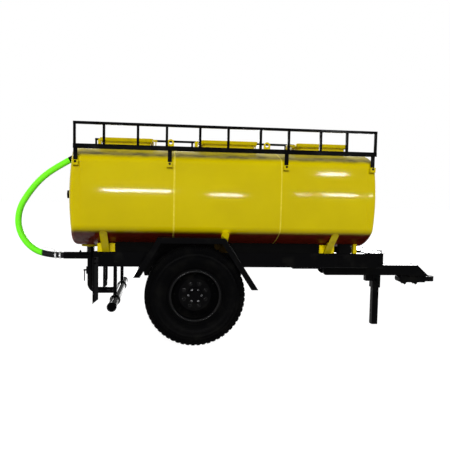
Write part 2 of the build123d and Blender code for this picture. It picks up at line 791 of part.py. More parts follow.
bellows = rod((RISER_X, 0, tee_top), (RISER_X, 0, pad_low), RISER_RADIUS)
pitch = (pad_low - tee_top) / BELLOWS_RIBS
for rib in range(BELLOWS_RIBS):
    low, high = around(tee_top + pitch * (rib + 0.5), pitch / 4)
    bellows += rod((RISER_X, 0, low), (RISER_X, 0, high), RISER_RADIUS + BELLOWS_RIB)
nodes["outlet_bellows"] = bellows

riser = rod((RISER_X, 0, valve_top), (RISER_X, 0, tee_top), RISER_RADIUS)
riser += rod((RISER_X, 0, tee_z), (TAIL_END_X, 0, tee_z), TEE_RADIUS)
nodes["riser_tee"] = riser

stem_x = RISER_X - VALVE_RADIUS - VALVE_STEM_LENGTH
lever_x = stem_x + VALVE_STEM_RADIUS
valve = rod(riser_foot, (RISER_X, 0, valve_top), VALVE_RADIUS)
valve += rod((RISER_X, 0, valve_z), (stem_x, 0, valve_z), VALVE_STEM_RADIUS)
valve += rod((lever_x, 0, valve_z), (lever_x, 0, valve_z - LEVER_LENGTH), LEVER_RADIUS)
nodes["outlet_valve"] = valve

feed_end = SPRINKLER_X - SPRINKLER_RADIUS - SEAT_GAP
feed_path = FilletPolyline(riser_foot, (RISER_X, 0, feed_z), (feed_end, 0, feed_z), radius=FEED_BEND)
nodes["feed_pipe"] = sweep(Plane(feed_path @ 0, z_dir=feed_path % 0) * Circle(FEED_RADIUS), feed_path)
nodes["sprinkler_bar"] = rod((SPRINKLER_X, -SPRINKLER_HALF_LENGTH, sprinkler_z),
                             (SPRINKLER_X, SPRINKLER_HALF_LENGTH, sprinkler_z), SPRINKLER_RADIUS)


def bar_hanger():
    """A flat bar on the right beam's web, with a ring round the sprinkler bar."""
    outer = -BEAM_OUTER_Y - BAR_HANGER
    inner = -BEAM_OUTER_Y
    ends = ((SPRINKLER_X, outer, sprinkler_z), (SPRINKLER_X, inner, sprinkler_z))
    strip = block(around(SPRINKLER_X, BAR_HANGER_WIDTH / 2), (outer, inner),
                  (sprinkler_z, beam_low + BAR_HANGER_RISE))
    strip += rod(*ends, SPRINKLER_RADIUS + BAR_HANGER_RING)
    return strip - rod(*ends, SPRINKLER_RADIUS + SEAT_GAP)


def rear_leg():
    """An angle iron down from the rear end of the right beam, cut to a point."""
    front = REAR_LEG_X + REAR_LEG_FLANGE
    outer = -BEAM_OUTER_Y - REAR_LEG_FLANGE
    z = (beam_low - REAR_LEG_DROP, beam_low + REAR_LEG_RISE)
    angle = block((REAR_LEG_X, front), (-BEAM_OUTER_Y - REAR_LEG_WALL, -BEAM_OUTER_Y), z)
    angle += block((REAR_LEG_X, REAR_LEG_X + REAR_LEG_WALL), (outer, -BEAM_OUTER_Y), z)
    cut = ((REAR_LEG_X, z[0]), (front, z[0]), (front, z[0] + REAR_LEG_POINT))
    return angle - side_plate(cut, (outer, -BEAM_OUTER_Y))


hook_y = HOOK_INSET - BEAM_OUTER_Y
hook_bend = beam_low - HOOK_DROP
hook = rod((HOOK_X, hook_y, beam_low), (HOOK_X, hook_y, hook_bend), HOOK_RADIUS)
hook += Pos(HOOK_X, hook_y, hook_bend) * Sphere(HOOK_RADIUS)
hook += rod((HOOK_X, hook_y, hook_bend), (HOOK_X - HOOK_TURN, hook_y, hook_bend - HOOK_TOE), HOOK_RADIUS)
nodes["hose_hook"] = hook

stub_z = tank_mid + STUB_RISE
stub = rod((STUB_END_X, 0, stub_z), (joint_rear, 0, stub_z), STUB_RADIUS)
stub += rod((STUB_END_X, 0, stub_z), (STUB_END_X + STUB_CAP, 0, stub_z), STUB_CAP_RADIUS)
nodes["head_stub"] = clear_of_tank(stub).solids().sort_by(Axis.X)[0]

nodes["sprinkler_hangers"] = both_sides(bar_hanger())
nodes["rear_leg_angles"] = both_sides(rear_leg())

# Hose, its clamps and the upper inlet

route = [Vector(x, 0, z) for x, z in HOSE_ROUTE]
radii = []
for before, corner, after in zip(route, route[1:], route[2:]):
    turn = radians((corner - before).get_angle(after - corner))
    shorter = min((corner - before).length, (after - corner).length)
    radii.append(HOSE_CORNER_SHARE * shorter / tan(turn / 2))
hose_line = FilletPolyline(*route, radius=radii)
hose = sweep(Plane(hose_line @ 0, z_dir=hose_line % 0) * Circle(HOSE_RADIUS), hose_line)
print("hose radii", [round(radius) for radius in radii])
print("hose length", round(hose_line.length), "share of full volume",
      round(hose.volume / (pi * HOSE_RADIUS ** 2 * hose_line.length), 4))
nodes["hose"] = hose
inlet = Solid.make_cylinder(HOSE_RADIUS, INLET_LENGTH, Plane(hose_line @ 1, z_dir=hose_line % 1))
nodes["hose_inlet"] = clear_of_tank(inlet).solids().sort_by(Axis.X)[0]


def hose_clamp(distance):
    """A band round the hose near its lower end."""
    ends = ((TAIL_END_X - distance, 0, tee_z), (TAIL_END_X - distance - HOSE_CLAMP_WIDTH, 0, tee_z))
    inside = HOSE_RADIUS + SEAT_GAP
    return rod(*ends, inside + HOSE_CLAMP_WALL) - rod(*ends, inside)


nodes["hose_clamps"] = group(*[hose_clamp(distance) for distance in HOSE_CLAMP_AT])


# Wheels, made about the origin with their outer side towards +Y

def tyre():
    """A hollow tyre, open at the rim, with rounded walls and shoulders."""
    shoulder = TYRE_RADIUS - SHOULDER_DROP
    bead = RIM_HALF_WIDTH - RIM_WALL - SEAT_GAP
    foot = BEAD_RADIUS + SEAT_GAP
    heel = foot + TYRE_WALL
    belly = (heel + shoulder) / 2
    wall = ThreePointArc((heel, bead), (belly, TYRE_HALF_WIDTH), (shoulder, TREAD_HALF_WIDTH))
    steps = [wall @ (step / TYRE_WALL_STEPS) for step in range(TYRE_WALL_STEPS + 1)]
    outside = [(foot, bead)] + [(point.X, point.Y) for point in steps]
    outside.append((TYRE_RADIUS, TREAD_HALF_WIDTH - SHOULDER_ROUND))
    inside = [(foot, bead - TYRE_WALL), (belly, TYRE_HALF_WIDTH - TYRE_WALL),
              (shoulder - TYRE_WALL, TREAD_HALF_WIDTH - TYRE_WALL)]
    far_outside = [(radius, -y) for radius, y in reversed(outside)]
    far_inside = [(radius, -y) for radius, y in inside]
    return turned(outside + far_outside + far_inside + inside[::-1])


def rim():
    """A flanged rim with a dished disc and a ring of hand holes."""
    inside = BEAD_RADIUS - RIM_WALL
    flange = BEAD_RADIUS + RIM_FLANGE
    lip = RIM_HALF_WIDTH - RIM_WALL
    bore = HUB_RADIUS + SEAT_GAP
    dished = DISC_OFFSET - DISC_DISH
    wheel = turned(((inside, -RIM_HALF_WIDTH), (flange, -RIM_HALF_WIDTH), (flange, -lip),
                    (BEAD_RADIUS, -lip), (BEAD_RADIUS, lip),
                    (flange, lip), (flange, RIM_HALF_WIDTH), (inside, RIM_HALF_WIDTH)))
    wheel += turned(((bore, DISC_OFFSET), (HUB_FLANGE_RADIUS, DISC_OFFSET), (inside, dished),
                     (inside, dished + DISC_WALL), (HUB_FLANGE_RADIUS, DISC_OFFSET + DISC_WALL),
                     (bore, DISC_OFFSET + DISC_WALL)))
    hole = rod((HAND_HOLE_CIRCLE, -RIM_HALF_WIDTH, 0), (HAND_HOLE_CIRCLE, RIM_HALF_WIDTH, 0),
               HAND_HOLE_RADIUS)
    for index in range(HAND_HOLE_COUNT):
        wheel -= Rot(0, index * 360 / HAND_HOLE_COUNT, 0) * hole
    return wheel


def hub():
    """A hub with a bolting flange behind the disc, a cap outside and a blind bore for the spindle."""
    bore = SPINDLE_RADIUS + RUNNING_FIT
    bore_end = SPINDLE_LENGTH - HUB_INNER + AXLE_END_GAP
    back = DISC_OFFSET - HUB_FLANGE
    cap_end = HUB_OUTER + HUB_CAP
    return turned(((bore, -HUB_INNER), (HUB_RADIUS, -HUB_INNER),
                   (HUB_RADIUS, back), (HUB_FLANGE_RADIUS, back),
                   (HUB_FLANGE_RADIUS, DISC_OFFSET), (HUB_RADIUS, DISC_OFFSET), (HUB_RADIUS, HUB_OUTER),
                   (HUB_CAP_RADIUS, HUB_OUTER), (HUB_CAP_RADIUS, cap_end), (0, cap_end), (0, bore_end),
                   (bore, bore_end)))


for name, piece in (("tyre", tyre()), ("rim", rim()), ("hub", hub())):
    left = Pos(0, WHEEL_CENTRE_Y, axle_z) * piece
    nodes[name + "_left"] = left
    nodes[name + "_right"] = other_side(left)

# One file for each node

os.makedirs("parts", exist_ok=True)
for name, shape in nodes.items():
    export_step(Pos(-middle_x, 0, 0) * shape, "parts/" + name + ".step")
print("nodes", len(nodes), "middle", middle_x)
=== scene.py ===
import json
from math import cos, pi, radians, sin

import bmesh
import bpy
from mathutils import Matrix, Vector
from mathutils.geometry import convex_hull_2d


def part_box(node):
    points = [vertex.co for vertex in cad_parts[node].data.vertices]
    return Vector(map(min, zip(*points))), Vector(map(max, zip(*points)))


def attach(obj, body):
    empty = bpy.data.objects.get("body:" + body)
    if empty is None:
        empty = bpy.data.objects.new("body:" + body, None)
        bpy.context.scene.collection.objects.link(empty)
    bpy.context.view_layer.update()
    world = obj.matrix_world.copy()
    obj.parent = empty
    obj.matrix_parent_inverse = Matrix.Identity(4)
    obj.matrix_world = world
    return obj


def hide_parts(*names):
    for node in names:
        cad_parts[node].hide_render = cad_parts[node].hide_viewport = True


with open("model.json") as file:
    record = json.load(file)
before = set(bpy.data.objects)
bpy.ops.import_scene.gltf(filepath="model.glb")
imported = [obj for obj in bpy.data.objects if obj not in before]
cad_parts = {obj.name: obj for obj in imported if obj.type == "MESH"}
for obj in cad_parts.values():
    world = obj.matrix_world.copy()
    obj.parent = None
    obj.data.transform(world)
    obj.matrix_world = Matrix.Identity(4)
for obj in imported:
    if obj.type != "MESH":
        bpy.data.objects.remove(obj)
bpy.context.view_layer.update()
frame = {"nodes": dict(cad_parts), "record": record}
nodes = frame["nodes"]

# Lengths along X are written from the axle, in metres, and moved to the frame by this much
MIDDLE_X = 0.7185

# Sizes that the pieces below share with the CAD model
AXLE_Z = 0.509
WHEEL_Y = 0.755
TANK_TOP = 2.030
LID_SEAT = 2.087
LID_TOP = 2.125
BEAM_TOP = 0.905
BEAM_Y = 0.440
TAIL_END_X = -1.445
TEE_Z = 0.812
NOSE_LOW = 0.600
TOW_LOW = 0.517
SPRINKLER_X = -0.830
SPRINKLER_Z = 0.390
SPRINKLER_END_Y = 0.800
RAIL_Y = 0.820
RAIL_BOLT_Z = 1.829
RAIL_LEGS_X = (-1.190, -0.274, 0.912, 1.826)
JACK_PIN_X = 2.235
JACK_PIN_Z = 0.545
# name, centre X and half width of each lid
HATCHES = (
    ("rear", -0.738, 0.288),
    ("middle", 0.380, 0.320),
    ("front", 1.440, 0.300),
)


def at(x, y, z):
    """A point of the frame, from X measured from the axle."""
    return Vector((x - MIDDLE_X, y, z))


# Shader values with arithmetic

class Value:
    """A socket of a shader tree that can be added, multiplied and so on."""

    def __init__(self, tree, socket):
        self.tree = tree
        self.socket = socket

    def node(self, kind, inputs, output=0, **settings):
        """Any other node of the same tree, with its inputs by name or number."""
        made = self.tree.nodes.new(kind)
        for name, setting in settings.items():
            setattr(made, name, setting)
        for key, value in dict(inputs).items():
            if isinstance(value, Value):
                self.tree.links.new(value.socket, made.inputs[key])
            else:
                made.inputs[key].default_value = value
        return Value(self.tree, made.outputs[output])

    def math(self, operation, *values):
        return self.node("ShaderNodeMath", enumerate(values), operation=operation)

    def __add__(self, other):
        return self.math("ADD", self, other)

    def __radd__(self, other):
        return self.math("ADD", other, self)

    def __rsub__(self, other):
        return self.math("SUBTRACT", other, self)

    def __mul__(self, other):
        return self.math("MULTIPLY", self, other)

    def __rmul__(self, other):
        return self.math("MULTIPLY", other, self)

    def smooth(self, low, high):
        """0 at the low limit and 1 at the high one, with a soft step between."""
        return self.node("ShaderNodeMapRange", {0: self, 1: low, 2: high}, interpolation_type="SMOOTHSTEP")

    def noise(self, scale, detail):
        """Noise over this vector."""
        return self.node("ShaderNodeTexNoise", {"Vector": self, "Scale": scale, "Detail": detail})

    def part(self, axis):
        """One coordinate of this vector."""
        return self.node("ShaderNodeSeparateXYZ", {0: self}, output="XYZ".index(axis))

    def blend(self, low, high):
        """A colour between two, by this value."""
        return self.node("ShaderNodeMix", {0: self, 6: low, 7: high}, output=2, data_type="RGBA")

    def bump(self, height):
        """A normal from this value times a height in metres."""
        return self.node("ShaderNodeBump", {"Height": self * height, "Strength": 1.0, "Distance": 1.0})


def paint(name, build, **constants):
    """A material whose varying inputs come from build(place), and its constant ones by name."""
    material = bpy.data.materials.new(name)
    material.use_nodes = True
    tree = material.node_tree
    shader = next(n for n in tree.nodes if n.type == "BSDF_PRINCIPLED")
    for key, value in constants.items():
        shader.inputs[key.replace("_", " ")].default_value = value
    coordinates = tree.nodes.new("ShaderNodeTexCoord")
    place = Value(tree, coordinates.outputs["Object"])
    for key, value in build(place).items():
        tree.links.new(value.socket, shader.inputs[key])
    return material


def colour(r, g, b):
    """An opaque colour."""
    return (r, g, b, 1.0)


# Materials

def enamel(place, dust):
    """Gloss yellow: faint clouds in the colour, a sprayed texture, and dust by the given value."""
    clouds = place.noise(2.3, 5.0)
    tint = clouds.smooth(0.3, 0.7).blend(colour(0.585, 0.462, 0.0), colour(0.63, 0.502, 0.0))
    return {
        "Base Color": (dust * 0.35).blend(tint, colour(0.17, 0.09, 0.01)),
        "Roughness": 0.35 + clouds * 0.08 + dust * 0.25,
        "Normal": (place.noise(160.0, 2.0) * 0.08 + place.noise(14.0, 3.0)).bump(0.0005),
    }


def yellow_look(place):
    """The yellow of the smaller pieces, with dust in patches."""
    return enamel(place, place.noise(9.0, 6.0).smooth(0.50, 0.80))


def tank_look(place):
    """The tank's yellow, dark red-brown below its lower corners, with painted shade on its shoulders that
    turns beige at the top edge.
    """
    patches = place.noise(9.0, 6.0).smooth(0.40, 0.70)
    height = place.part("Z") + 0.02 * place.noise(5.0, 3.0)
    # Dark red-brown below the lower corners
    below_corners = 1.0 - height.smooth(1.125, 1.175)
    # Mask of the shoulder band: painted shade under the rails, in patches, up to the top edge
    shoulder_painted_shade = height.smooth(1.88, 1.93) * (0.45 + 0.35 * patches)
    values = enamel(place, below_corners * patches)
    # Colour of the shoulder band: a dark olive painted shade, beige at the top edge
    dust = height.smooth(1.93, 1.985).blend(colour(0.03, 0.026, 0.002), colour(0.27, 0.225, 0.045))
    topside_with_painted_shade = shoulder_painted_shade.blend(values["Base Color"], dust)
    underside_red_brown = patches.blend(colour(0.16, 0.011, 0.002), colour(0.11, 0.012, 0.003))
    values["Base Color"] = below_corners.blend(topside_with_painted_shade, underside_red_brown)
    values["Roughness"] = values["Roughness"] + shoulder_painted_shade * 0.3
    return values


def black_look(place):
    """Black enamel over rolled steel, dusty and duller in places."""
    clouds = place.noise(6.0, 6.0)
    grain = place.noise(120.0, 3.0)
    dust = clouds.smooth(0.5, 0.8)
    return {
        "Base Color": dust.blend(colour(0.0016, 0.0016, 0.0019), colour(0.0055, 0.0053, 0.0047)),
        "Roughness": 0.13 + dust * 0.14,
        "Normal": (grain * 0.3 + clouds).bump(0.0002),
    }


def tyre_look(place):
    """Rubber with fine moulding marks and dust."""
    clouds = place.noise(8.0, 5.0)
    grain = place.noise(220.0, 3.0)
    dust = clouds.smooth(0.45, 0.8)
    return {
        "Base Color": dust.blend(colour(0.0014, 0.0014, 0.0016), colour(0.0042, 0.0041, 0.0038)),
        "Roughness": 0.28 + clouds * 0.16,
        "Normal": grain.bump(0.0004),
    }


def rubber_look(place):
    """Matt black rubber."""
    grain = place.noise(180.0, 3.0)
    clouds = place.noise(10.0, 4.0)
    return {
        "Base Color": clouds.blend(colour(0.0015, 0.0015, 0.0015), colour(0.004, 0.004, 0.004)),
        "Roughness": 0.5 + clouds * 0.2,
        "Normal": grain.bump(0.0006),
    }


def zinc_look(place):
    """Zinc plate with a little stain."""
    clouds = place.noise(40.0, 4.0)
    return {
        "Base Color": clouds.smooth(0.35, 0.75).blend(colour(0.36, 0.36, 0.37), colour(0.60, 0.60, 0.60)),
        "Roughness": 0.26 + clouds * 0.2,
        "Normal": place.noise(300.0, 2.0).bump(0.0003),
    }


def steel_look(place):
    """Bare steel, mostly dark with grease and bright where it was handled."""
    clouds = place.noise(60.0, 3.0)
    bright = clouds.smooth(0.42, 0.62)
    return {
        "Base Color": bright.blend(colour(0.015, 0.015, 0.016), colour(0.30, 0.30, 0.31)),
        "Roughness": 0.25 + clouds * 0.2,
    }


def hose_look(place):
    """Green hose, and its first length in black, where the sleeve covers it."""
    clouds = place.noise(7.0, 4.0)
    ribs = (place.part("Z") * 260.0 + place.part("X") * 90.0).math("SINE")
    low_end = 1.0 - place.part("Z").smooth(1.0, 1.1)
    sleeve = place.part("X").smooth(-1.690 - MIDDLE_X, -1.672 - MIDDLE_X) * low_end
    green = clouds.smooth(0.3, 0.7).blend(colour(0.17, 0.94, 0.022), colour(0.20, 0.99, 0.028))
    return {
        "Base Color": sleeve.blend(green, colour(0.006, 0.006, 0.007)),
        "Roughness": 0.30 + clouds * 0.1,
        "Normal": (ribs * 0.5 + place.noise(150.0, 2.0)).bump(0.0003),
    }


def seam_look(place):
    """Yellow over a weld, lightened in patches toward pale yellow by a painted highlight."""
    values = tank_look(place)
    # Painted highlight along the weld, in patches
    pale = 0.8 * place.noise(30.0, 3.0)
    values["Base Color"] = pale.blend(values["Base Color"], colour(0.95, 0.82, 0.10))
    return values


def painted_shade_look(place):
    """Yellow with a painted shadow of the wheel and fender over its lower part."""
    values = yellow_look(place)
    patches = place.noise(12.0, 5.0)
    # Painted shadow of the wheel and fender on the lower part
    painted_shade_mask = 1.0 - (place.part("Z") + 0.04 * patches).smooth(1.035, 1.085)
    painted_shade_colour = patches.blend(colour(0.018, 0.008, 0.003), colour(0.045, 0.022, 0.006))
    values["Base Color"] = (painted_shade_mask * 0.97).blend(values["Base Color"], painted_shade_colour)
    values["Roughness"] = values["Roughness"] + painted_shade_mask * 0.3
    return values


CLEAR_COAT = {"Coat_Weight": 0.12, "Coat_Roughness": 0.06, "Specular_IOR_Level": 0.01}
yellow = paint("yellow_enamel", yellow_look, **CLEAR_COAT)
tank_yellow = paint("tank_enamel", tank_look, **CLEAR_COAT)
seam_yellow = paint("seam_enamel", seam_look, Specular_IOR_Level=0.05)
painted_shade_yellow = paint("painted_shade_enamel", painted_shade_look, Specular_IOR_Level=0.03)
black = paint("black_enamel", black_look, Specular_IOR_Level=0.02)
gloss_black = paint("gloss_enamel", black_look, Specular_IOR_Level=0.09)
dull_black = paint("dull_enamel", black_look, Specular_IOR_Level=0.003)
tyre_rubber = paint("tyre_rubber", tyre_look, Specular_IOR_Level=0.01)
black_rubber = paint("black_rubber", rubber_look, Specular_IOR_Level=0.01)
zinc = paint("zinc_plate", zinc_look, Metallic=1.0)
steel = paint("greasy_steel", steel_look, Metallic=1.0)
green = paint("green_hose", hose_look, Specular_IOR_Level=0.08)

# Every CAD node takes its own look if it has one, or else that of its slot
LOOKS = {
    "yellow_paint": yellow, "black_paint": black, "tyre": tyre_rubber,
    "green_hose": green, "black_rubber": black_rubber, "zinc": zinc,
}
NODE_LOOKS = {
    "tank_ring_rear": tank_yellow, "tank_ring_middle": tank_yellow, "tank_ring_front": tank_yellow,
    "tank_head_rear": tank_yellow, "tank_head_front": tank_yellow, "saddle_middle": painted_shade_yellow,
    "outlet_bellows": gloss_black, "rear_leg_angles": gloss_black, "sprinkler_bar": dull_black,
}
# Nodes whose names begin like this get slightly rounded edges
ROUNDED = (
    "rail_", "chassis_", "cross_", "front_", "saddle_", "drawbar_", "jack_", "fender_", "sprinkler_h",
    "rear_leg", "tow_eye", "beam_", "spring_", "axle_", "hinge_", "tank_packing", "rim_", "hub_",
)
EDGE_WIDTH = 0.0025
SAME_POINT = 0.00005
for subpart in frame["record"]["subparts"]:
    node = nodes[subpart["node"]]
    node.data.materials.clear()
    node.data.materials.append(NODE_LOOKS.get(subpart["node"], LOOKS[subpart["material_slot"]]))
    if subpart["node"].startswith(ROUNDED):
        weld = node.modifiers.new("weld", "WELD")
        weld.merge_threshold = SAME_POINT
        edges = node.modifiers.new("edges", "BEVEL")
        edges.width = EDGE_WIDTH
        edges.segments = 2
        edges.angle_limit = radians(40)


# Mesh pieces

def turn_to(axis):
    """The rotation that takes +Z to this direction."""
    return Vector((0, 0, 1)).rotation_difference(Vector(axis)).to_matrix().to_4x4()


class Piece:
    """One mesh that is put together from simple turned, drawn and bent forms."""

    def __init__(self):
        self.mesh = bmesh.new()

    def rod(self, start, end, radius, sides=16, end_radius=None):
        """A round bar, or a cone with another radius at its end."""
        way = Vector(end) - Vector(start)
        place = Matrix.Translation((Vector(start) + Vector(end)) / 2) @ turn_to(way)
        end_radius = radius if end_radius is None else end_radius
        bmesh.ops.create_cone(self.mesh, cap_ends=True, segments=sides, radius1=radius, radius2=end_radius,
                              depth=way.length, matrix=place)

    def block(self, low, high):
        """A box between two corners, with small chamfers."""
        low, high = Vector(low), Vector(high)
        size = high - low
        place = Matrix.Translation((low + high) / 2) @ Matrix.Diagonal((*size, 1))
        made = bmesh.ops.create_cube(self.mesh, size=1.0, matrix=place)
        edges = {edge for vertex in made["verts"] for edge in vertex.link_edges}
        bmesh.ops.bevel(self.mesh, geom=list(edges), offset=min(size) * 0.15, segments=2, affect="EDGES",
                        profile=0.5, material=-1)

    def nut(self, centre, axis, radius, height, stud=0.0):
        """A hexagon nut or bolt head on a washer, with the stud's end if there is one."""
        axis = Vector(axis).normalized()
        centre = Vector(centre)
        self.rod(centre, centre + axis * height * 0.15, radius * 1.25, 20)
        self.rod(centre, centre + axis * height * 0.85, radius, 6)
        self.rod(centre + axis * height * 0.85, centre + axis * height, radius, 6, radius * 0.85)
        if stud:
            self.rod(centre, centre + axis * (height + stud), radius * 0.5, 12)

    def lathe(self, profile, centre, axis, steps):
        """A closed profile of (radius, height) points, turned about an axis."""
        place = Matrix.Translation(Vector(centre)) @ turn_to(axis)
        made = [self.mesh.verts.new(place @ Vector((r, 0, h))) for r, h in profile]
        face = self.mesh.faces.new(made)
        bmesh.ops.spin(self.mesh, geom=[face, *face.edges, *face.verts], cent=Vector(centre),
                       axis=place.to_3x3() @ Vector((0, 0, 1)), angle=2 * pi, steps=steps, use_merge=True)

    def tube(self, path, radius, sides=10):
        """A bent wire or bar through the points of a path."""
        points = [Vector(point) for point in path]
        rings = []
        for before, point, after in zip([points[0], *points], points, [*points[1:], points[-1]]):
            place = Matrix.Translation(point) @ turn_to(after - before)
            made = bmesh.ops.create_circle(self.mesh, segments=sides, radius=radius, matrix=place)["verts"]
            rings.append(list(dict.fromkeys(edge for vertex in made for edge in vertex.link_edges)))
        for one, two in zip(rings, rings[1:]):
            bmesh.ops.bridge_loops(self.mesh, edges=one + two)
        for end in (rings[0], rings[-1]):
            bmesh.ops.edgeloop_fill(self.mesh, edges=end)

    def prism(self, outline, place, half):
        """A flat outline of (X, Z) points, drawn out along Y by half its width to each side."""
        face = self.mesh.faces.new([self.mesh.verts.new(place @ Vector((x, -half, z))) for x, z in outline])
        drawn = bmesh.ops.extrude_face_region(self.mesh, geom=[face])["geom"]
        moved = [item for item in drawn if isinstance(item, bmesh.types.BMVert)]
        bmesh.ops.translate(self.mesh, verts=moved, vec=place.to_3x3() @ Vector((0, 2 * half, 0)))

    def done(self, name, body, slot, look=None, angle=35, replaces=()):
        """Closes the mesh as an object on a body, with a material."""
        bmesh.ops.recalc_face_normals(self.mesh, faces=self.mesh.faces)
        data = bpy.data.meshes.new(name)
        self.mesh.to_mesh(data)
        self.mesh.free()
        for polygon in data.polygons:
            polygon.use_smooth = True
        data.set_sharp_from_angle(angle=radians(angle))
        data.materials.append(look or LOOKS[slot])
        piece = bpy.data.objects.new(name, data)
        bpy.context.collection.objects.link(piece)
        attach(piece, body)
        if replaces:
            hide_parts(*replaces)
        return piece


# Wheels: tyres with a road tread, nuts, rings, dark drums that stand in for shade behind the hand holes,
# and cap screws

# radius and width of half a tyre's section, from the inside of the bead to the middle of the tread
TYRE_PROFILE = (
    (0.2545, 0.062), (0.2545, 0.0875), (0.277, 0.0885), (0.292, 0.101), (0.296, 0.1035), (0.300, 0.101),
    (0.318, 0.113), (0.345, 0.1235), (0.380, 0.1283), (0.408, 0.127), (0.412, 0.1288), (0.430, 0.126),
    (0.434, 0.121), (0.455, 0.112), (0.477, 0.105), (0.496, 0.096), (0.503, 0.082), (0.504, 0.0),
)
SHOULDER_LUG = ((0.455, 0.106), (0.460, 0.1165), (0.478, 0.1115), (0.497, 0.103), (0.5075, 0.090),
                (0.509, 0.062), (0.497, 0.062), (0.490, 0.085))
LUG_COUNT = 58
LUG_HALF = 0.0165
TREAD_RADIUS = 0.509
RIB_FOOT = 0.494
RIB_HALF = 0.022
# turn of a rib's blocks for each metre that the rib is off the middle
RIB_STAGGER = 6.0
# middle and half width of each inner tread rib
RIBS = ((0.0, 0.011), (0.0385, 0.0155))


def wheel_centre(side):
    """The middle of the wheel on a side."""
    return at(0, side * WHEEL_Y, AXLE_Z)


def spoke(turn):
    """A direction in the wheel's plane."""
    return Vector((cos(turn), 0, sin(turn)))


def tread_place(centre, turn, end):
    """The place of a tread block, whose outline has its radius along X and its width along Z."""
    swap = Matrix(((1, 0, 0, 0), (0, 0, end, 0), (0, 1, 0, 0), (0, 0, 0, 1)))
    return Matrix.Translation(centre) @ Matrix.Rotation(turn, 4, "Y") @ swap


def tyre(side, word):
    """A tyre: a turned body, lugs round both shoulders and blocks on the ribs between."""
    piece = Piece()
    centre = wheel_centre(side)
    far = [(r, -y) for r, y in reversed(TYRE_PROFILE[:-1])]
    piece.lathe([*TYRE_PROFILE, *far, (0.275, -0.062), (0.275, 0.062)], centre, (0, 1, 0), 120)
    for index in range(LUG_COUNT):
        turn = 2 * pi * index / LUG_COUNT
        for end in (-1, 1):
            piece.prism(SHOULDER_LUG, tread_place(centre, turn + end * pi / LUG_COUNT / 2, end), LUG_HALF)
        for middle, half in RIBS:
            for end in (-1, 1) if middle else (1,):
                low, high = end * middle - half, end * middle + half
                outline = ((RIB_FOOT, low), (TREAD_RADIUS, low), (TREAD_RADIUS, high), (RIB_FOOT, high))
                piece.prism(outline, tread_place(centre, turn + end * middle * RIB_STAGGER, 1), RIB_HALF)
    return piece.done("tyre_tread_" + word, "wheel_" + word, "tyre", angle=30, replaces=["tyre_" + word])


def wheel_nuts(side, word):
    """Eight wheel nuts with their studs, and the tyre valve."""
    piece = Piece()
    out = Vector((0, side, 0))
    middle = wheel_centre(side)
    for index in range(8):
        foot = middle + spoke(2 * pi * (index + 0.5) / 8) * 0.120 + out * 0.024
        piece.nut(foot, out, 0.017, 0.022, 0.016)
    way = spoke(0.6)
    piece.tube([middle + way * 0.245 + out * 0.02, middle + way * 0.225 + out * 0.04,
                middle + way * 0.218 + out * 0.075], 0.005)
    return piece.done("wheel_nuts_" + word, "wheel_" + word, "black_paint", gloss_black)


def lock_ring(side, word):
    """The round split ring that holds the tyre's bead on the rim."""
    piece = Piece()
    turns = [2 * pi * k / 20 for k in range(20)]
    section = [(0.252 + 0.015 * cos(turn), 0.090 + 0.015 * sin(turn)) for turn in turns]
    piece.lathe(section, wheel_centre(side), (0, side, 0), 120)
    return piece.done("lock_ring_" + word, "wheel_" + word, "black_paint", gloss_black)


def hole_shade_drum(side, word):
    """A dark drum on the hub, put behind the rim's hand holes as painted shade, that closes the view
    through them.
    """
    piece = Piece()
    profile = ((0.074, -0.034), (0.225, -0.034), (0.232, -0.041), (0.232, -0.086), (0.222, -0.086),
               (0.222, -0.044), (0.074, -0.044))
    piece.lathe(profile, wheel_centre(side), (0, side, 0), 96)
    return piece.done("hole_shade_drum_" + word, "wheel_" + word, "black_paint")


def cap_screws(side, word):
    """Six screws round the hub cap."""
    piece = Piece()
    out = Vector((0, side, 0))
    for index in range(6):
        foot = wheel_centre(side) + spoke(2 * pi * index / 6) * 0.065 + out * 0.058
        piece.nut(foot, out, 0.008, 0.008)
    return piece.done("cap_screws_" + word, "wheel_" + word, "zinc", steel)


for side, word in ((-1, "right"), (1, "left")):
    tyre(side, word)
    wheel_nuts(side, word)
    cap_screws(side, word)
    lock_ring(side, word)
    hole_shade_drum(side, word)


# Weld beads round the tank's seams

def weld_beads(name, look, places):
    """Low beads along joints of the tank. A place is a ring's name, its end and the share of full size."""
    piece = Piece()
    section = ((-0.009, -0.001), (-0.006, 0.0028), (0.0, 0.0042), (0.006, 0.0028), (0.009, -0.001))
    for ring, end, share in places:
        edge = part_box(ring)[end][0]
        rim = [vertex.co for vertex in nodes[ring].data.vertices if abs(vertex.co.x - edge) < 0.0001]
        rim = [(co.y, co.z) for co in rim]
        outline = [Vector(rim[index]) for index in convex_hull_2d(rim)]
        before, after = outline[-1:] + outline[:-1], outline[1:] + outline[:1]
        alongs = [stop - start for start, stop in zip(before, after)]
        outs = [Vector((along.y, -along.x)).normalized() for along in alongs]
        loops = []
        for x, rise in section:
            row = [piece.mesh.verts.new((edge + x * share, *(point + out * rise * share)))
                   for point, out in zip(outline, outs)]
            loops.append([piece.mesh.edges.new(pair) for pair in zip(row, row[1:] + row[:1])])
        for one, two in zip(loops, loops[1:]):
            bmesh.ops.bridge_loops(piece.mesh, edges=one + two)
    return piece.done(name, "trailer", "yellow_paint", look, 60)


weld_beads("seam_beads", seam_yellow, (("tank_ring_middle", 0, 1.1), ("tank_ring_middle", 1, 0.8)))
weld_beads("head_beads", tank_yellow, (("tank_ring_rear", 0, 0.5), ("tank_ring_front", 1, 0.5)))


# Hatches: gaskets under the lids, latches at their front edges and the bolts that hold these

